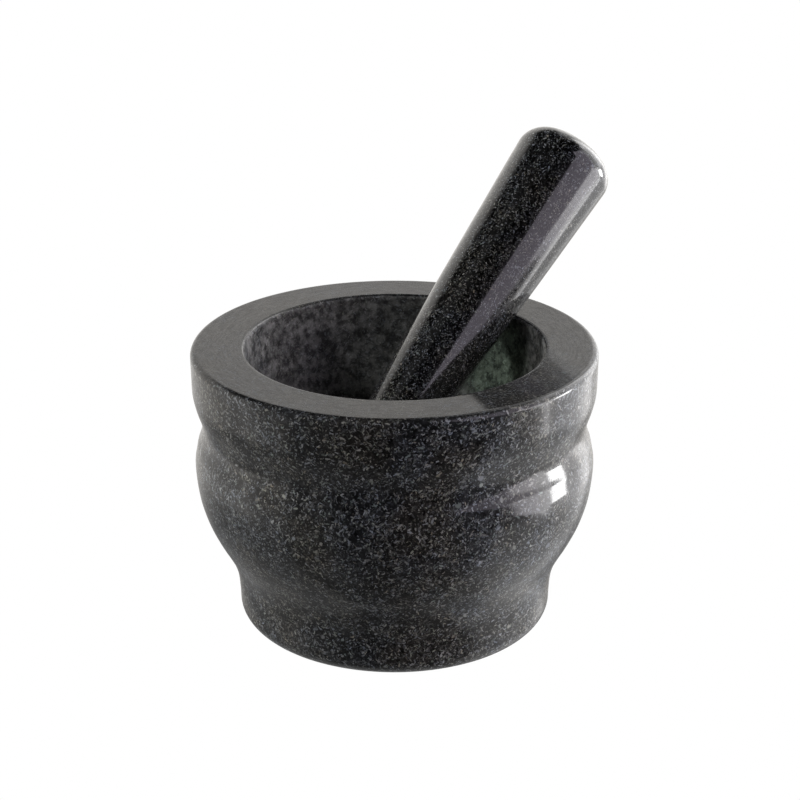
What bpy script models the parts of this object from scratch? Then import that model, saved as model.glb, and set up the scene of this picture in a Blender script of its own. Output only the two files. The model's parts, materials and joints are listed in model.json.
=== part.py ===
"""A turned granite mortar with its loose pestle, in metres, +Z up.

The mortar stands on the origin with its axis on Z. The pestle leans across the bowl towards +X and +Y:
its thin end rests low on the bowl's wall and its shaft on the inner edge of the rim.
"""

import math

import bpy

# Mortar: overall sizes.
HEIGHT = 0.101
RIM_RADIUS = 0.070
RIM_OUTER_ROUND = 0.0023
RIM_INNER_ROUND = 0.0018
FOOT_RADIUS = 0.046
MORTAR_STEPS = 72

# Mortar: the bowl is a squared ellipse turned about the axis.
BOWL_RADIUS = 0.0513
BOWL_FLOOR = 0.030
BOWL_SQUARENESS = 2.2

# Mortar: (height, radius) where the outside turns, from under the rim to the top of the foot's rounding.
OUTSIDE = [
    (0.0925, 0.0699),
    (0.0860, 0.0697),
    (0.0815, 0.0688),
    (0.0775, 0.0675),
    (0.0735, 0.0666),
    (0.0695, 0.0670),
    (0.0650, 0.0685),
    (0.0600, 0.0694),
    (0.0540, 0.0691),
    (0.0470, 0.0680),
    (0.0400, 0.0658),
    (0.0340, 0.0630),
    (0.0290, 0.0602),
    (0.0250, 0.0581),
    (0.0210, 0.0566),
    (0.0170, 0.0557),
    (0.0120, 0.0552),
]
FOOT_TOP = (0.0075, 0.0550)

# Pestle: a tapered rod, its thin end at the bottom of its own axis.
PESTLE_LENGTH = 0.1650
THIN_TIP_HEIGHT = 0.0085
SHAFT = [
    (0.0085, 0.0097),
    (0.0200, 0.0102),
    (0.0520, 0.0124),
    (0.0820, 0.0142),
    (0.1120, 0.0159),
    (0.1545, 0.0181),
]
END_ROUND = 0.0085
END_DOME = 0.0020
PESTLE_STEPS = 40

# Pestle: how it leans. The thin end's tip is given in the mortar's frame.
LEAN = math.radians(48.0)
LEAN_TOWARDS = math.radians(44.2)
TIP_AT = (-0.0225, -0.0250, 0.0447)


def clear_scene():
    """Remove whatever the file opened with."""
    for thing in list(bpy.data.objects):
        bpy.data.objects.remove(thing, do_unlink=True)


def stone(name, colour, roughness):
    """A plain stone colour on a Principled BSDF."""
    material = bpy.data.materials.new(name)
    material.use_nodes = True
    shader = material.node_tree.nodes["Principled BSDF"]
    shader.inputs["Base Color"].default_value = (*colour, 1.0)
    shader.inputs["Roughness"].default_value = roughness
    shader.inputs["Metallic"].default_value = 0.0
    return material


def arc(centre_r, centre_z, radius_r, radius_z, start, stop, count):
    """Points (r, z) of an elliptical arc, angles in degrees from the outward direction."""
    points = []
    for i in range(count + 1):
        angle = math.radians(start + (stop - start) * i / count)
        points.append((centre_r + radius_r * math.cos(angle), centre_z + radius_z * math.sin(angle)))
    return points


def bowl_outline(count):
    """The hollow, from its floor on the axis up to the start of the rim's inner rounding."""
    depth = HEIGHT - RIM_INNER_ROUND - BOWL_FLOOR
    power = 2.0 / BOWL_SQUARENESS
    points = []
    for i in range(count + 1):
        angle = 0.5 * math.pi * i / count
        radius = BOWL_RADIUS * math.sin(angle) ** power
        height = BOWL_FLOOR + depth * (1.0 - max(math.cos(angle), 0.0) ** power)
        points.append((radius, height))
    return points


def mortar_outline():
    """The whole section: up the bowl, over the rim, down the outside and in along the underside."""
    rim_centre = HEIGHT - RIM_INNER_ROUND
    outline = bowl_outline(13)
    outline += arc(BOWL_RADIUS + RIM_INNER_ROUND, rim_centre, RIM_INNER_ROUND, RIM_INNER_ROUND, 180, 90, 4)[1:]
    edge_r = RIM_RADIUS - RIM_OUTER_ROUND
    edge_z = HEIGHT - RIM_OUTER_ROUND
    outline += arc(edge_r, edge_z, RIM_OUTER_ROUND, RIM_OUTER_ROUND, 90, 0, 3)
    outline += [(radius, height) for height, radius in OUTSIDE]
    foot_z, foot_r = FOOT_TOP
    outline += arc(FOOT_RADIUS, foot_z, foot_r - FOOT_RADIUS, foot_z, 0, -90, 5)
    outline.append((0.0, 0.0))
    return outline


def pestle_outline():
    """The rod's section: down from the fat domed end, along the shaft and round the thin end."""
    end_r = SHAFT[-1][1]
    flat_r = end_r - END_ROUND
    shoulder = PESTLE_LENGTH - END_DOME
    outline = []
    for i in range(4):
        share = i / 4
        outline.append((flat_r * share, shoulder + END_DOME * (1.0 - share**2)))
    outline += arc(flat_r, shoulder - END_ROUND, END_ROUND, END_ROUND, 90, 0, 6)
    outline += [(radius, height) for height, radius in reversed(SHAFT[:-1])]
    outline += arc(0.0, THIN_TIP_HEIGHT, SHAFT[0][1], THIN_TIP_HEIGHT, 0, -90, 6)[1:-1]
    outline.append((0.0, 0.0))
    return outline


def turned(name, outline, steps, material, collection):
    """An object turned about its own Z from a section at +X."""
    mesh = bpy.data.meshes.new(name)
    vertices = [(radius, 0.0, height) for radius, height in outline]
    edges = [(i, i + 1) for i in range(len(vertices) - 1)]
    mesh.from_pydata(vertices, edges, [])
    mesh.materials.append(material)
    piece = bpy.data.objects.new(name, mesh)
    collection.objects.link(piece)
    lathe = piece.modifiers.new("Lathe", "SCREW")
    lathe.axis = "Z"
    lathe.steps = steps
    lathe.render_steps = steps
    lathe.use_merge_vertices = True
    lathe.merge_threshold = 0.00001
    lathe.use_smooth_shade = True
    return piece


def build():
    """Both pieces, in a collection named for the object."""
    clear_scene()
    collection = bpy.data.collections.new("Molcajete")
    bpy.context.scene.collection.children.link(collection)

    mortar_stone = stone("mortar_granite", (0.045, 0.046, 0.050), 0.30)
    pestle_stone = stone("pestle_granite", (0.025, 0.026, 0.030), 0.18)

    turned("mortar", mortar_outline(), MORTAR_STEPS, mortar_stone, collection)
    pestle = turned("pestle", pestle_outline(), PESTLE_STEPS, pestle_stone, collection)
    pestle.location = TIP_AT
    pestle.rotation_euler = (0.0, LEAN, LEAN_TOWARDS)


build()
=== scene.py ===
import json
import math

import bpy
from mathutils import Matrix, Vector, noise


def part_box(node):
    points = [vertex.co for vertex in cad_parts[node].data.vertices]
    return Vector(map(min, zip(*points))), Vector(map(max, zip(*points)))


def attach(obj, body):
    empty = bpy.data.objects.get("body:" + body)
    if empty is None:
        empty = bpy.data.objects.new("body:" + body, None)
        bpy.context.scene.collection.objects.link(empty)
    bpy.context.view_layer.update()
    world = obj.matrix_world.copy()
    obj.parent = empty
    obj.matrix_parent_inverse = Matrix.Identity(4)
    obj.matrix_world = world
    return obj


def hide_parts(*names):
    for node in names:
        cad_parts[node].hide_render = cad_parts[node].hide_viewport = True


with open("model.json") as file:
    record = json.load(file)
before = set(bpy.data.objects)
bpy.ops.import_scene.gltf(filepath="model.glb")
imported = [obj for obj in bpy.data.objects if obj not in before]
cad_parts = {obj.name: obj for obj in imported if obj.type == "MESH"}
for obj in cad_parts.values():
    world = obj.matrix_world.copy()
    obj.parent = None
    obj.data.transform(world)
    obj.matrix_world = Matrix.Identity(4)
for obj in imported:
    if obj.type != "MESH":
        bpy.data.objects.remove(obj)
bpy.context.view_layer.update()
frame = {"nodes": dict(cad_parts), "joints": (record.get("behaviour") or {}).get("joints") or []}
print("frame loaded")

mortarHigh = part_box("mortar")[1]
rimRadius = mortarHigh.x
mortarHeight = mortarHigh.z
liftAxis = Vector(frame["joints"][0]["axis"]).normalized()
liftTurn = liftAxis.to_track_quat("Z", "Y")


def roundedArc(centreR, centreZ, sizeR, sizeZ, startAngle, endAngle, count):
    # points (r, z) along part of an ellipse, angles in degrees from straight outwards
    points = []
    for step in range(count + 1):
        angle = math.radians(startAngle + (endAngle - startAngle) * step / count)
        points.append((centreR + sizeR * math.cos(angle), centreZ + sizeZ * math.sin(angle)))
    return points


def smoothThrough(stations, spacing):
    # a soft curve through (r, z) stations, with a point about every spacing
    points = []
    last = len(stations) - 1
    for i in range(last):
        before, start = Vector(stations[max(i - 1, 0)]), Vector(stations[i])
        end, after = Vector(stations[i + 1]), Vector(stations[min(i + 2, last)])
        count = max(2, round((end - start).length / spacing))
        for step in range(count):
            t = step / count
            point = 0.5 * (2 * start + (end - before) * t
                           + (2 * before - 5 * start + 4 * end - after) * t**2
                           + (3 * start - before - 3 * end + after) * t**3)
            points.append((point.x, point.y))
    points.append(stations[-1])
    return points


def turnSection(name, section, steps):
    # turns a section round Z with a Screw modifier and keeps the result as a plain mesh
    outline = bpy.data.meshes.new(name + "Outline")
    corners = [(radius, 0.0, height) for radius, height in section]
    outline.from_pydata(corners, [(i, i + 1) for i in range(len(corners) - 1)], [])
    lathe = bpy.data.objects.new(name + "Outline", outline)
    bpy.context.scene.collection.objects.link(lathe)
    screw = lathe.modifiers.new("Turn", "SCREW")
    screw.steps = screw.render_steps = steps
    screw.use_merge_vertices = True
    screw.merge_threshold = 0.000005
    view = bpy.context.evaluated_depsgraph_get()
    mesh = bpy.data.meshes.new_from_object(lathe.evaluated_get(view))
    mesh.name = name
    mesh.shade_smooth()
    bpy.data.objects.remove(lathe)
    return mesh


mortarShape = {
    "steps": 320,
    "spacing": 0.0009,          # between points along the section
    "outerRound": 0.0023,
    "innerRound": 0.0018,
    "bowlRadius": 0.0513,
    "bowlFloor": 0.030,
    "bowlSquareness": 2.2,
    "footRadius": 0.046,
    "footTop": (0.0550, 0.0075),
    "groove": [                 # (radius, height) from under the rim down to the crisp shoulder line
        (0.0700, 0.0987),
        (0.0699, 0.0925),
        (0.0697, 0.0860),
        (0.0688, 0.0815),
        (0.0675, 0.0775),
        (0.0666, 0.0735),
        (0.0671, 0.0700),
        (0.0683, 0.0665),
    ],
    "bulge": [                  # from the shoulder line down to the foot's rounding
        (0.0683, 0.0665),
        (0.0689, 0.0635),
        (0.0694, 0.0600),
        (0.0691, 0.0540),
        (0.0680, 0.0470),
        (0.0658, 0.0400),
        (0.0630, 0.0340),
        (0.0602, 0.0290),
        (0.0581, 0.0250),
        (0.0566, 0.0210),
        (0.0557, 0.0170),
        (0.0552, 0.0120),
        (0.0550, 0.0075),
    ],
    "grindWave": 0.00006,       # soft unevenness left by the grinder
    "bowlWave": 0.00022,        # the bowl is ground rougher than the outside
    "waveFade": 0.006,          # below the rim, where the bowl's unevenness dies away
}


def bowlSection(count):
    s = mortarShape
    depth = mortarHeight - s["innerRound"] - s["bowlFloor"]
    power = 2 / s["bowlSquareness"]
    points = []
    for step in range(count + 1):
        angle = 0.5 * math.pi * step / count
        radius = s["bowlRadius"] * math.sin(angle) ** power
        height = s["bowlFloor"] + depth * (1 - max(math.cos(angle), 0) ** power)
        points.append((radius, height))
    return points


def mortarSection():
    s = mortarShape
    inner, outer = s["innerRound"], s["outerRound"]
    section = bowlSection(90)
    section += roundedArc(s["bowlRadius"] + inner, mortarHeight - inner, inner, inner, 180, 90, 14)[1:]
    rimTop = [(s["bowlRadius"] + inner, mortarHeight), (rimRadius - outer, mortarHeight)]
    section += smoothThrough(rimTop, s["spacing"])[1:-1]
    section += roundedArc(rimRadius - outer, mortarHeight - outer, outer, outer, 90, 0, 10)
    section += smoothThrough(s["groove"], s["spacing"])[1:]
    section += smoothThrough(s["bulge"], s["spacing"])[1:]
    footR, footZ = s["footTop"]
    section += roundedArc(s["footRadius"], footZ, footR - s["footRadius"], footZ, 0, -90, 16)[1:]
    section += [(s["footRadius"] * (1 - step / 16), 0.0) for step in range(1, 17)]
    return section


def buildMortar():
    s = mortarShape
    mesh = turnSection("mortarStone", mortarSection(), s["steps"])
    piece = bpy.data.objects.new("mortarStone", mesh)
    bpy.context.scene.collection.objects.link(piece)
    bowlEdge = s["bowlRadius"] + 0.6 * s["innerRound"]
    facing = [vertex.normal.copy() for vertex in mesh.vertices]
    for vertex, normal in zip(mesh.vertices, facing):
        place = vertex.co.copy()
        radius = math.hypot(place.x, place.y)
        insideBowl = radius < bowlEdge and place.z > 0.5 * s["bowlFloor"]
        if insideBowl:
            # ground with a loose abrasive, so the hollow is uneven both ways
            wave = s["bowlWave"] * noise.fractal(place * 95, 0.9, 2.1, 3)
            rimFade = min(1, (mortarHeight - place.z) / s["waveFade"])
            push = wave * max(0, rimFade)
        elif place.z > 0.0005:
            ring = noise.noise(Vector((0, 3.1, place.z * 260)))
            patch = noise.noise(place * 45 + Vector((7, 1, 3)))
            push = -s["grindWave"] * (1 + 0.5 * ring + 0.5 * patch)
        else:
            push = 0
        vertex.co = place + normal * push
    for vertex in mesh.vertices:
        # nothing stands proud of the size that the frame gives
        flat = Vector((vertex.co.x, vertex.co.y))
        if flat.length > rimRadius:
            flat *= rimRadius / flat.length
            vertex.co.x, vertex.co.y = flat
        vertex.co.z = min(max(vertex.co.z, 0), mortarHeight)
    mesh.update()
    return piece


pestleShape = {
    "steps": 192,
    "spacing": 0.0012,
    "tipHeight": 0.0085,
    "shaft": [                  # (radius, distance from the thin tip)
        (0.0097, 0.0085),
        (0.0102, 0.0200),
        (0.0124, 0.0520),
        (0.0142, 0.0820),
        (0.0159, 0.1120),
        (0.0181, 0.1545),
    ],
    "endRound": 0.0085,
    "endDome": 0.0020,
    "grindWave": 0.00005,
}


def pestleTipAndLength():
    # the tip is the CAD point furthest down the pestle's own axis
    points = [vertex.co.copy() for vertex in frame["nodes"]["pestle"].data.vertices]
    points.sort(key=lambda point: point.dot(liftAxis))
    return points[0], (points[-1] - points[0]).dot(liftAxis)


def pestleSection(length):
    s = pestleShape
    endR = s["shaft"][-1][0]
    flatR = endR - s["endRound"]
    shoulder = length - s["endDome"]
    section = []
    for step in range(14):
        share = step / 14
        section.append((flatR * share, shoulder + s["endDome"] * (1 - share**2)))
    section += roundedArc(flatR, shoulder - s["endRound"], s["endRound"], s["endRound"], 90, 0, 22)
    section += smoothThrough(list(reversed(s["shaft"])), s["spacing"])[1:]
    tipR = s["shaft"][0][0]
    section += roundedArc(0, s["tipHeight"], tipR, s["tipHeight"], 0, -90, 16)[1:-1]
    section.append((0.0, 0.0))
    return section


def buildPestle():
    s = pestleShape
    tip, length = pestleTipAndLength()
    mesh = turnSection("pestleStone", pestleSection(length), s["steps"])
    facing = [vertex.normal.copy() for vertex in mesh.vertices]
    for vertex, normal in zip(mesh.vertices, facing):
        patch = noise.noise(vertex.co * 60 + Vector((2, 9, 4)))
        vertex.co = vertex.co - normal * s["grindWave"] * (1 + patch)
    mesh.transform(Matrix.Translation(tip) @ liftTurn.to_matrix().to_4x4())
    mesh.update()
    piece = bpy.data.objects.new("pestleStone", mesh)
    bpy.context.scene.collection.objects.link(piece)
    return piece


mortar = buildMortar()
print("mortar turned", len(mortar.data.polygons), "faces")
pestle = buildPestle()
print("pestle turned", len(pestle.data.polygons), "faces")


def feed(tree, socket, value):
    # a value is another node's output, or a plain number, vector or colour
    if isinstance(value, bpy.types.NodeSocket):
        tree.links.new(value, socket)
    else:
        socket.default_value = value


def mathStep(tree, operation, *values):
    node = tree.nodes.new("ShaderNodeMath")
    node.operation = operation
    for socket, value in zip(node.inputs, values):
        feed(tree, socket, value)
    return node.outputs[0]


def vectorStep(tree, operation, *values):
    node = tree.nodes.new("ShaderNodeVectorMath")
    node.operation = operation
    sockets = [node.inputs[0], node.inputs["Scale"]] if operation == "SCALE" else node.inputs
    for socket, value in zip(sockets, values):
        feed(tree, socket, value)
    return node.outputs["Value" if operation in ("LENGTH", "DOT_PRODUCT") else "Vector"]


def softStep(tree, value, low, high, bottom=0.0, top=1.0):
    # bottom below low, top above high, and a smooth change between
    node = tree.nodes.new("ShaderNodeMapRange")
    node.interpolation_type = "SMOOTHSTEP"
    for socket, given in zip(node.inputs, (value, low, high, bottom, top)):
        feed(tree, socket, given)
    return node.outputs[0]


def mixValue(tree, factor, first, second):
    node = tree.nodes.new("ShaderNodeMix")
    for socket, value in zip((node.inputs[0], node.inputs[2], node.inputs[3]), (factor, first, second)):
        feed(tree, socket, value)
    return node.outputs[0]


def mixColour(tree, factor, first, second, blend="MIX"):
    node = tree.nodes.new("ShaderNodeMix")
    node.data_type = "RGBA"
    node.blend_type = blend
    for socket, value in zip((node.inputs[0], node.inputs[6], node.inputs[7]), (factor, first, second)):
        feed(tree, socket, value)
    return node.outputs[2]


def centred(tree, value, spread):
    # a value from 0 to 1 becomes one from -spread / 2 to spread / 2
    return mathStep(tree, "MULTIPLY_ADD", value, spread, -0.5 * spread)


def noiseStep(tree, vector, scale, detail=2.0, roughness=0.5, output=0):
    node = tree.nodes.new("ShaderNodeTexNoise")
    feed(tree, node.inputs["Vector"], vector)
    feed(tree, node.inputs["Scale"], scale)
    node.inputs["Detail"].default_value = detail
    node.inputs["Roughness"].default_value = roughness
    return node.outputs[output]


def cellStep(tree, vector, scale):
    node = tree.nodes.new("ShaderNodeTexVoronoi")
    feed(tree, node.inputs["Vector"], vector)
    feed(tree, node.inputs["Scale"], scale)
    return node


def newGroup(name, inputs, outputs):
    # inputs and outputs are (socket name, kind, starting value)
    tree = bpy.data.node_groups.new(name, "ShaderNodeTree")
    for label, kind, value in inputs:
        socket = tree.interface.new_socket(label, in_out="INPUT", socket_type="NodeSocket" + kind)
        if value is not None:
            socket.default_value = value
    for label, kind in outputs:
        tree.interface.new_socket(label, in_out="OUTPUT", socket_type="NodeSocket" + kind)
    return tree, tree.nodes.new("NodeGroupInput").outputs, tree.nodes.new("NodeGroupOutput").inputs


def placeGroup(tree, group, **values):
    # a keyword such as fleckLight sets the input called Fleck Light
    node = tree.nodes.new("ShaderNodeGroup")
    node.node_tree = group
    for key, value in values.items():
        label = "".join(" " + letter if letter.isupper() else letter for letter in key).title()
        feed(tree, node.inputs[label], value)
    return node.outputs


def makeCrystalGroup():
    # thin plates lying every way in the stone, which the cut surface shows as short pale laths
    tree, given, result = newGroup(
        "crystalPlates",
        [("Vector", "Vector", None), ("Scale", "Float", 900.0), ("Thickness", "Float", 0.0002),
         ("Length", "Float", 0.0008), ("Amount", "Float", 0.5)],
        [("Mask", "Float"), ("Random", "Float")])
    cells = cellStep(tree, given["Vector"], given["Scale"])
    offset = vectorStep(tree, "SUBTRACT", given["Vector"], cells.outputs["Position"])
    spun = vectorStep(tree, "MULTIPLY_ADD", cells.outputs["Color"], (2, 2, 2), (-1, -1, -1))
    facing = vectorStep(tree, "NORMALIZE", spun)
    across = mathStep(tree, "ABSOLUTE", vectorStep(tree, "DOT_PRODUCT", offset, facing))
    reach = vectorStep(tree, "LENGTH", offset)
    thin = softStep(tree, mathStep(tree, "DIVIDE", across, given["Thickness"]), 0.5, 1.15, 1.0, 0.0)
    near = softStep(tree, mathStep(tree, "DIVIDE", reach, given["Length"]), 0.6, 1.1, 1.0, 0.0)
    mixed = vectorStep(tree, "DOT_PRODUCT", cells.outputs["Color"], (37.7, 61.3, 83.9))
    chance = mathStep(tree, "FRACT", mixed)
    kept = mathStep(tree, "LESS_THAN", chance, given["Amount"])
    random = mathStep(tree, "FRACT", mathStep(tree, "MULTIPLY", mixed, 7.31))
    feed(tree, result["Mask"], mathStep(tree, "MULTIPLY", mathStep(tree, "MULTIPLY", thin, near), kept))
    feed(tree, result["Random"], random)
    return tree


def makeGraniteGroup(crystals):
    tree, given, result = newGroup(
        "graniteGrain",
        [("Vector", "Vector", None), ("Density", "Float", 1.0), ("Fleck Light", "Float", 0.3),
         ("Ground Light", "Float", 0.014)],
        [("Color", "Color"), ("Flecks", "Float"), ("Gloss", "Float"), ("Height", "Float")])
    swirl = noiseStep(tree, given["Vector"], 1300.0, 2.0, 0.6, output=1)
    swirl = vectorStep(tree, "SCALE", vectorStep(tree, "SUBTRACT", swirl, (0.5, 0.5, 0.5)), 0.0009)
    bent = vectorStep(tree, "ADD", given["Vector"], swirl)
    patches = noiseStep(tree, given["Vector"], 150.0, 3.0, 0.55)
    crowd = softStep(tree, patches, 0.34, 0.66, 0.50, 1.0)
    amount = mathStep(tree, "MULTIPLY", crowd, given["Density"])

    total = None
    strongest = None
    layers = (
        # cells per metre, half thickness, half length, share of the amount, light
        (440.0, 0.00026, 0.00120, 0.40, 0.75),
        (800.0, 0.00020, 0.00080, 0.70, 1.00),
        (1400.0, 0.00016, 0.00052, 0.95, 0.80),
    )
    for number, (scale, thickness, length, share, light) in enumerate(layers):
        shifted = vectorStep(tree, "ADD", bent, (0.31 * number, 0.17 * number, 0.23 * number))
        plate = placeGroup(tree, crystals, vector=shifted, scale=scale, thickness=thickness,
                           length=length, amount=mathStep(tree, "MULTIPLY", amount, share))
        shade = mathStep(tree, "POWER", plate["Random"], 1.7)
        shade = mathStep(tree, "MULTIPLY_ADD", shade, 0.85 * light, 0.15 * light)
        strength = mathStep(tree, "MULTIPLY", plate["Mask"], shade)
        if total is None:
            total, strongest = strength, plate["Random"]
        else:
            larger = mathStep(tree, "GREATER_THAN", strength, total)
            strongest = mixValue(tree, larger, strongest, plate["Random"])
            total = mathStep(tree, "MAXIMUM", total, strength)

    tints = tree.nodes.new("ShaderNodeValToRGB")
    tints.color_ramp.interpolation = "LINEAR"
    ramp = [(0.0, (0.80, 0.88, 1.00)), (0.30, (0.92, 0.96, 1.00)), (0.55, (1.00, 1.00, 0.97)),
            (0.74, (0.93, 0.98, 0.86)), (0.86, (0.80, 0.95, 0.92)), (0.95, (1.00, 0.90, 0.74)),
            (1.0, (1.00, 1.00, 1.00))]
    elements = tints.color_ramp.elements
    while len(elements) < len(ramp):
        elements.new(0.5)
    for element, (position, colour) in zip(elements, ramp):
        element.position = position
        element.color = (*colour, 1)
    feed(tree, tints.inputs[0], mathStep(tree, "FRACT", mathStep(tree, "MULTIPLY", strongest, 5.7)))
    fleckColour = vectorStep(tree, "SCALE", tints.outputs[0], given["Fleck Light"])

    # the dark minerals between the flecks are a mosaic of near blacks
    mosaic = cellStep(tree, bent, 820.0)
    grey = vectorStep(tree, "DOT_PRODUCT", mosaic.outputs["Color"], (0.4, 0.3, 0.3))
    grey = mathStep(tree, "POWER", grey, 2.2)
    cloud = softStep(tree, noiseStep(tree, given["Vector"], 75.0, 3.0, 0.6), 0.3, 0.7, 0.60, 1.40)
    sand = softStep(tree, noiseStep(tree, given["Vector"], 2100.0, 2.0, 0.7), 0.35, 0.65, 0.45, 1.6)
    cloud = mathStep(tree, "MULTIPLY", cloud, sand)
    grey = mathStep(tree, "MULTIPLY", mathStep(tree, "MULTIPLY_ADD", grey, 2.6, 0.35), cloud)
    grey = mathStep(tree, "MULTIPLY", grey, given["Ground Light"])
    regions = softStep(tree, noiseStep(tree, given["Vector"], 48.0, 2.0, 0.5), 0.40, 0.60)
    groundTint = mixColour(tree, regions, (0.93, 0.97, 1.06, 1), (1.06, 1.0, 0.90, 1))
    ground = vectorStep(tree, "SCALE", groundTint, grey)
    fleckColour = mixColour(tree, 0.6, fleckColour, groundTint, "MULTIPLY")
    feed(tree, result["Color"], mixColour(tree, total, ground, fleckColour))
    feed(tree, result["Flecks"], total)
    feed(tree, result["Gloss"], vectorStep(tree, "DOT_PRODUCT", mosaic.outputs["Color"], (0.2, 0.5, 0.3)))
    groundHeight = mathStep(tree, "MULTIPLY", grey, 4.0)
    feed(tree, result["Height"], mathStep(tree, "MULTIPLY_ADD", total, 0.5, groundHeight))
    return tree


def makeStreakGroup():
    # grinding and polishing lines: Around and Along are how often they change each way
    tree, given, result = newGroup(
        "grindingStreaks",
        [("Vector", "Vector", None), ("Around", "Float", 20.0), ("Along", "Float", 900.0),
         ("Outward", "Float", 0.0)],
        [("Streaks", "Float"), ("Fine", "Float")])
    apart = tree.nodes.new("ShaderNodeSeparateXYZ")
    feed(tree, apart.inputs[0], given["Vector"])
    flat = tree.nodes.new("ShaderNodeCombineXYZ")
    feed(tree, flat.inputs[0], apart.outputs[0])
    feed(tree, flat.inputs[1], apart.outputs[1])
    radius = vectorStep(tree, "LENGTH", flat.outputs[0])
    turned = vectorStep(tree, "SCALE", vectorStep(tree, "NORMALIZE", flat.outputs[0]), given["Around"])
    rise = mathStep(tree, "MULTIPLY", apart.outputs[2], given["Along"])
    rise = mathStep(tree, "ADD", rise, mathStep(tree, "MULTIPLY", radius, given["Outward"]))
    lift = tree.nodes.new("ShaderNodeCombineXYZ")
    feed(tree, lift.inputs[2], rise)
    place = vectorStep(tree, "ADD", turned, lift.outputs[0])
    feed(tree, result["Streaks"], noiseStep(tree, place, 1.0, 3.0, 0.6))
    feed(tree, result["Fine"], noiseStep(tree, place, 3.1, 2.0, 0.5))
    return tree


crystalPlates = makeCrystalGroup()
graniteGrain = makeGraniteGroup(crystalPlates)
grindingStreaks = makeStreakGroup()
print("stone groups made")

mortarFinish = {
    "turnedRough": 0.36,        # the stone itself, under the polish
    "rimRough": 0.80,
    "bowlRough": 0.66,
    "footRough": 0.75,
    "grainRough": 0.30,         # how much one crystal may differ from the next
    "ringRough": 0.10,
    "stoneShine": 0.15,
    "polish": 0.62,
    "rimPolish": 0.88,
    "rimStreak": 0.14,          # how far the rim's polish goes either side of that
    "borderWander": 0.0010,     # between the bowl's ground face and the polish
    "polishRough": 0.08,
    "grainSize": 1.08,
    "grainDensity": 0.92,
    "fleckLight": 0.43,
    "groundLight": 0.020,       # the dark minerals between the flecks
    "rimFlecks": 0.30,          # how strongly the flecks show on the flat rim
    "bowlFlecks": 0.50,
    "bowlDust": 0.142,          # the pale bruised surface of the ground hollow
    "stainPlace": (0.036, 0.033, 0.082),    # a faint green stain where the pestle works the wall
    "stainReach": 0.019,
    "stainTint": (0.86, 1.07, 0.88, 1),
    "bumpStrength": 0.35,
    "bumpDepth": 0.00012,
}


def newMaterial(name):
    material = bpy.data.materials.new(name)
    material.use_nodes = True
    tree = material.node_tree
    tree.nodes.clear()
    shader = tree.nodes.new("ShaderNodeBsdfPrincipled")
    output = tree.nodes.new("ShaderNodeOutputMaterial")
    tree.links.new(shader.outputs[0], output.inputs[0])
    place = tree.nodes.new("ShaderNodeTexCoord").outputs["Object"]
    return material, tree, shader, place


def addBump(tree, shader, height, strength, distance):
    bump = tree.nodes.new("ShaderNodeBump")
    bump.inputs["Strength"].default_value = strength
    bump.inputs["Distance"].default_value = distance
    feed(tree, bump.inputs["Height"], height)
    feed(tree, shader.inputs["Normal"], bump.outputs[0])


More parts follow.
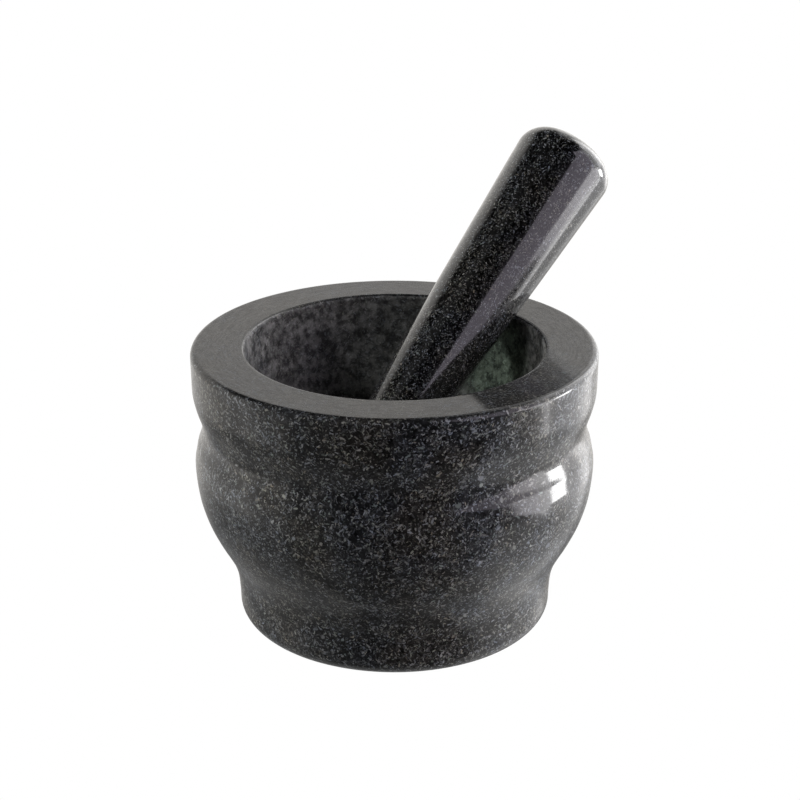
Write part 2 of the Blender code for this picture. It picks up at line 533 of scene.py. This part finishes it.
def makeMortarMaterial():
    f, s = mortarFinish, mortarShape
    material, tree, shader, place = newMaterial("darkGraniteTurned")
    apart = tree.nodes.new("ShaderNodeSeparateXYZ")
    feed(tree, apart.inputs[0], place)
    height = apart.outputs[2]
    flat = tree.nodes.new("ShaderNodeCombineXYZ")
    feed(tree, flat.inputs[0], apart.outputs[0])
    feed(tree, flat.inputs[1], apart.outputs[1])
    radius = vectorStep(tree, "LENGTH", flat.outputs[0])

    # where each finish lies, with borders that wander a little
    wander = centred(tree, noiseStep(tree, place, 260.0, 3.0, 0.6), f["borderWander"])
    lip = mathStep(tree, "ADD", radius, wander)
    bowlSide = softStep(tree, lip, s["bowlRadius"] + 0.0002, s["bowlRadius"] + 0.0008, 1.0, 0.0)
    hollow = mathStep(tree, "GREATER_THAN", height, 0.5 * s["bowlFloor"])
    bowl = mathStep(tree, "MULTIPLY", bowlSide, hollow)
    rim = softStep(tree, height, mortarHeight - 0.0009, mortarHeight - 0.0002)
    foot = softStep(tree, height, 0.0003, 0.0010, 1.0, 0.0)

    coarser = vectorStep(tree, "SCALE", place, 1 / f["grainSize"])
    granite = placeGroup(tree, graniteGrain, vector=coarser, density=f["grainDensity"],
                         fleckLight=f["fleckLight"], groundLight=f["groundLight"])
    pull = mixValue(tree, bowl, mixValue(tree, rim, 1.0, f["rimFlecks"]), f["bowlFlecks"])
    blotches = softStep(tree, noiseStep(tree, place, 330.0, 4.0, 0.62), 0.36, 0.66, 0.30, 1.60)
    soft = softStep(tree, noiseStep(tree, place, 90.0, 2.0, 0.5), 0.30, 0.70, 0.70, 1.25)
    dust = mathStep(tree, "MULTIPLY", mathStep(tree, "MULTIPLY", blotches, soft), f["bowlDust"])
    pulled = vectorStep(tree, "SCALE", granite["Color"], pull)
    dusty = vectorStep(tree, "SCALE", (1.0, 1.0, 0.96), mathStep(tree, "MULTIPLY", dust, bowl))
    colour = vectorStep(tree, "ADD", pulled, dusty)
    fromStain = vectorStep(tree, "LENGTH", vectorStep(tree, "SUBTRACT", place, f["stainPlace"]))
    stain = softStep(tree, fromStain, 0.6 * f["stainReach"], 1.2 * f["stainReach"], 1.0, 0.0)
    stain = mathStep(tree, "MULTIPLY", stain, bowl)
    feed(tree, shader.inputs["Base Color"], mixColour(tree, stain, colour, f["stainTint"], "MULTIPLY"))

    rings = placeGroup(tree, grindingStreaks, vector=place, around=14.0, along=1500.0, outward=1500.0)
    scratches = placeGroup(tree, grindingStreaks, vector=place, around=150.0, along=110.0, outward=0.0)
    mottle = noiseStep(tree, place, 900.0, 3.0, 0.6)
    rough = mixValue(tree, rim, f["turnedRough"], f["rimRough"])
    rough = mixValue(tree, bowl, rough, f["bowlRough"])
    rough = mixValue(tree, foot, rough, f["footRough"])
    vary = centred(tree, granite["Gloss"], f["grainRough"])
    vary = mathStep(tree, "ADD", vary, centred(tree, rings["Streaks"], f["ringRough"]))
    feed(tree, shader.inputs["Roughness"], mathStep(tree, "ADD", rough, vary))
    ground = mathStep(tree, "MAXIMUM", bowl, foot)
    # the flat rim's polish is streaky, and a little duller on the pale crystals
    least, most = 1 - f["rimStreak"], 1 + f["rimStreak"]
    rimPolish = softStep(tree, rings["Streaks"], 0.35, 0.65, least * f["rimPolish"], most * f["rimPolish"])
    dulled = mathStep(tree, "MULTIPLY_ADD", granite["Flecks"], -0.5, 1.0)
    polish = mixValue(tree, rim, f["polish"], mathStep(tree, "MULTIPLY", rimPolish, dulled))
    feed(tree, shader.inputs["Coat Weight"], mixValue(tree, ground, polish, 0.0))
    shader.inputs["Coat Roughness"].default_value = f["polishRough"]
    shader.inputs["Specular IOR Level"].default_value = f["stoneShine"]

    ringHeight = mathStep(tree, "MULTIPLY", rings["Fine"], 0.25)
    smoothHeight = mathStep(tree, "MULTIPLY_ADD", mottle, 0.5, ringHeight)
    scratchHeight = mathStep(tree, "MULTIPLY", scratches["Streaks"], 2.2)
    bowlHeight = mathStep(tree, "ADD", mathStep(tree, "MULTIPLY", mottle, 2.6), scratchHeight)
    relief = mixValue(tree, bowl, smoothHeight, bowlHeight)
    addBump(tree, shader, relief, f["bumpStrength"], f["bumpDepth"])
    return material


pestleFinish = {
    "shaftRough": 0.26,
    "tipRough": 0.50,
    "tipReach": 0.016,          # how far up from the tip the working end is worn dull
    "tipWander": 0.006,
    "tipFade": 0.004,
    "tipDust": 0.03,
    "grainRough": 0.50,
    "streakRough": 0.10,
    "stoneShine": 0.22,
    "polish": 1.0,
    "polishRough": 0.05,
    "grainSize": 0.72,          # finer than the mortar's
    "grainDensity": 0.60,
    "fleckLight": 0.34,
    "groundLight": 0.004,
    "bumpStrength": 0.10,
    "bumpDepth": 0.00008,
}


def makePestleMaterial():
    f = pestleFinish
    material, tree, shader, standing = newMaterial("darkGranitePolished")
    # the pestle's own coordinates, with Z up its length from the tip
    onPestle = tree.nodes.new("ShaderNodeMapping")
    onPestle.vector_type = "TEXTURE"
    onPestle.inputs["Location"].default_value = pestleTipAndLength()[0]
    onPestle.inputs["Rotation"].default_value = liftTurn.to_euler()
    feed(tree, onPestle.inputs["Vector"], standing)
    place = onPestle.outputs[0]
    apart = tree.nodes.new("ShaderNodeSeparateXYZ")
    feed(tree, apart.inputs[0], place)
    wander = centred(tree, noiseStep(tree, place, 240.0, 3.0, 0.6), f["tipWander"])
    along = mathStep(tree, "ADD", apart.outputs[2], wander)
    reach, fade = f["tipReach"], f["tipFade"]
    worn = softStep(tree, along, reach - fade, reach + fade, 1.0, 0.0)

    elsewhere = vectorStep(tree, "ADD", place, (0.7, 0.4, 0.9))
    elsewhere = vectorStep(tree, "SCALE", elsewhere, 1 / f["grainSize"])
    stone = placeGroup(tree, graniteGrain, vector=elsewhere, density=f["grainDensity"],
                       fleckLight=f["fleckLight"], groundLight=f["groundLight"])
    dull = vectorStep(tree, "SCALE", (1.0, 1.0, 0.96), mathStep(tree, "MULTIPLY", worn, f["tipDust"]))
    feed(tree, shader.inputs["Base Color"], vectorStep(tree, "ADD", stone["Color"], dull))

    streaks = placeGroup(tree, grindingStreaks, vector=place, around=55.0, along=30.0, outward=0.0)
    rough = mixValue(tree, worn, f["shaftRough"], f["tipRough"])
    vary = centred(tree, streaks["Streaks"], f["streakRough"])
    vary = mathStep(tree, "ADD", vary, centred(tree, stone["Gloss"], f["grainRough"]))
    feed(tree, shader.inputs["Roughness"], mathStep(tree, "ADD", rough, vary))
    polish = mathStep(tree, "MULTIPLY_ADD", worn, -f["polish"], f["polish"])
    feed(tree, shader.inputs["Coat Weight"], polish)
    shader.inputs["Coat Roughness"].default_value = f["polishRough"]
    shader.inputs["Specular IOR Level"].default_value = f["stoneShine"]
    relief = mathStep(tree, "MULTIPLY_ADD", streaks["Fine"], 0.35, stone["Height"])
    addBump(tree, shader, relief, f["bumpStrength"], f["bumpDepth"])
    return material


mortar.data.materials.append(makeMortarMaterial())
pestle.data.materials.append(makePestleMaterial())
print("stone finishes made")

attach(mortar, "mortar")
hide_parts("mortar")
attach(pestle, "pestle")
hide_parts("pestle")

studio = {
    "floorSize": 6.0,
    "floorDrop": 0.0002,        # below the mortar's foot
    "white": (1.0, 1.0, 1.0, 1),
    "panels": [
        # azimuth from +X, half width, lowest and highest angle, lean of the lower edge, soft edge
        {"name": "keyLamp", "centre": 14, "half": 7, "low": -13, "high": 0, "lean": 0, "edge": 3,
         "light": 20.0, "tint": (1.0, 1.0, 1.0, 1)},
        {"name": "rightSoftbox", "centre": 26, "half": 30, "low": -26, "high": 46, "lean": 0, "edge": 12,
         "light": 1.6, "tint": (1.0, 0.99, 1.0, 1)},
        {"name": "rightTop", "centre": 36, "half": 19, "low": 4, "high": 47, "lean": 0, "edge": 8,
         "light": 1.6, "tint": (1.0, 1.0, 1.0, 1)},
        {"name": "rightLow", "centre": -8, "half": 15, "low": -16, "high": 4, "lean": -0.75, "edge": 5,
         "light": 3.6, "tint": (1.0, 0.99, 1.0, 1)},
        {"name": "frontRight", "centre": -30, "half": 27, "low": -2, "high": 50, "lean": -0.65, "edge": 2,
         "light": 1.3, "tint": (1.0, 0.92, 1.08, 1)},
        {"name": "backWall", "centre": 112, "half": 74, "low": -26, "high": 34, "lean": 0, "edge": 14,
         "light": 0.84, "tint": (1.03, 1.0, 0.96, 1)},
        {"name": "backGlow", "centre": 60, "half": 20, "low": -16, "high": 60, "lean": 0, "edge": 12,
         "light": 0.8, "tint": (1.0, 1.0, 1.0, 1)},
        {"name": "leftEdge", "centre": -170, "half": 18, "low": -30, "high": 18, "lean": 0, "edge": 14,
         "light": 0.45, "tint": (1.03, 1.0, 0.96, 1)},
        {"name": "leftFront", "centre": -146, "half": 24, "low": -62, "high": 60, "lean": 0, "edge": 16,
         "light": 0.16, "tint": (1.0, 1.0, 1.0, 1)},
        {"name": "rightTable", "centre": 14, "half": 44, "low": -60, "high": -22, "lean": 0, "edge": 18,
         "light": 0.60, "tint": (1.0, 1.0, 1.0, 1)},
        {"name": "tableBehind", "centre": 85, "half": 110, "low": -100, "high": -30, "lean": 0, "edge": 16,
         "light": 0.30, "tint": (1.0, 1.0, 1.0, 1)},
        {"name": "tableFront", "centre": -90, "half": 66, "low": -100, "high": -44, "lean": 0, "edge": 14,
         "light": 0.11, "tint": (1.0, 1.0, 1.0, 1)},
    ],
    # soft lamps into the bowl, kept out of the reflections
    "bowlLamps": [
        {"name": "leftBackLamp", "azimuth": 162, "elevation": 41, "strength": 1.4},
        {"name": "leftFrontLamp", "azimuth": -140, "elevation": 31, "strength": 0.5},
    ],
    "lampSpread": 9,            # degrees
}


def makePanelGroup():
    tree, given, result = newGroup(
        "lightPanel",
        [("Azimuth", "Float", 0.0), ("Elevation", "Float", 0.0), ("Centre", "Float", 0.0),
         ("Half", "Float", 30.0), ("Low", "Float", 0.0), ("High", "Float", 30.0), ("Lean", "Float", 0.0),
         ("Edge", "Float", 5.0), ("Light", "Float", 1.0), ("Tint", "Color", (1, 1, 1, 1))],
        [("Color", "Color")])
    past = mathStep(tree, "SUBTRACT", given["Azimuth"], given["Centre"])
    past = mathStep(tree, "WRAP", past, 180.0, -180.0)
    inside = mathStep(tree, "SUBTRACT", given["Half"], mathStep(tree, "ABSOLUTE", past))
    lowest = mathStep(tree, "MULTIPLY_ADD", past, given["Lean"], given["Low"])
    above = mathStep(tree, "SUBTRACT", given["Elevation"], lowest)
    below = mathStep(tree, "SUBTRACT", given["High"], given["Elevation"])
    soft = mathStep(tree, "MULTIPLY", given["Edge"], -0.5)
    firm = mathStep(tree, "MULTIPLY", given["Edge"], 0.5)
    lit = given["Light"]
    for distance in (inside, above, below):
        lit = mathStep(tree, "MULTIPLY", lit, softStep(tree, distance, soft, firm))
    feed(tree, result["Color"], vectorStep(tree, "SCALE", given["Tint"], lit))
    return tree


def buildStudio():
    world = bpy.data.worlds.new("softStudio")
    bpy.context.scene.world = world
    world.use_nodes = True
    tree = world.node_tree
    tree.nodes.clear()
    apart = tree.nodes.new("ShaderNodeSeparateXYZ")
    feed(tree, apart.inputs[0], tree.nodes.new("ShaderNodeTexCoord").outputs["Generated"])
    turn = mathStep(tree, "ARCTAN2", apart.outputs[1], apart.outputs[0])
    azimuth = mathStep(tree, "MULTIPLY", turn, math.degrees(1))
    elevation = mathStep(tree, "MULTIPLY", mathStep(tree, "ARCSINE", apart.outputs[2]), math.degrees(1))
    panelGroup = makePanelGroup()
    total = (0.0, 0.0, 0.0)
    for panel in studio["panels"]:
        values = {key: value for key, value in panel.items() if key != "name"}
        lit = placeGroup(tree, panelGroup, azimuth=azimuth, elevation=elevation, **values)
        total = vectorStep(tree, "ADD", lit["Color"], total)
    room = tree.nodes.new("ShaderNodeBackground")
    feed(tree, room.inputs["Color"], total)
    paper = tree.nodes.new("ShaderNodeBackground")
    paper.inputs["Color"].default_value = studio["white"]
    seen = tree.nodes.new("ShaderNodeMixShader")
    feed(tree, seen.inputs[0], tree.nodes.new("ShaderNodeLightPath").outputs["Is Camera Ray"])
    feed(tree, seen.inputs[1], room.outputs[0])
    feed(tree, seen.inputs[2], paper.outputs[0])
    feed(tree, tree.nodes.new("ShaderNodeOutputWorld").inputs[0], seen.outputs[0])


def buildBowlLamps():
    for lamp in studio["bowlLamps"]:
        light = bpy.data.lights.new(lamp["name"], "SUN")
        light.energy = lamp["strength"]
        light.angle = math.radians(studio["lampSpread"])
        placed = bpy.data.objects.new(lamp["name"], light)
        placed.rotation_euler = (0, math.radians(90 - lamp["elevation"]), math.radians(lamp["azimuth"]))
        placed.visible_glossy = False
        bpy.context.scene.collection.objects.link(placed)


def buildFloor():
    bpy.ops.mesh.primitive_circle_add(vertices=96, radius=studio["floorSize"], fill_type="NGON")
    floor = bpy.context.object
    floor.name = "floor"
    floor.location.z = -studio["floorDrop"]
    material = bpy.data.materials.new("paleFloor")
    material.use_nodes = True
    tree = material.node_tree
    tree.nodes.clear()
    glow = tree.nodes.new("ShaderNodeEmission")
    glow.inputs["Color"].default_value = studio["white"]
    feed(tree, tree.nodes.new("ShaderNodeOutputMaterial").inputs[0], glow.outputs[0])
    floor.data.materials.append(material)
    # the floor is plain white paper to the eye, and the panels below the horizon stand for its light
    floor.visible_glossy = False
    floor.visible_diffuse = False
    floor.visible_shadow = False


buildStudio()
buildBowlLamps()
buildFloor()
bpy.context.scene.view_settings.view_transform = "Standard"
print("studio lit")

# metres, degrees, and the lens in millimetres
cameraPlace = {"side": 0.0019, "away": 0.700, "up": 0.3586, "tiltDown": 21.69, "lens": 97.8}
cameraData = bpy.data.cameras.new("Camera")
cameraData.lens = cameraPlace["lens"]
cameraData.sensor_width = 36
camera = bpy.data.objects.new("Camera", cameraData)
camera.location = (cameraPlace["side"], -cameraPlace["away"], cameraPlace["up"])
camera.rotation_euler = (math.radians(90 - cameraPlace["tiltDown"]), 0, 0)
bpy.context.scene.collection.objects.link(camera)
bpy.context.scene.camera = camera
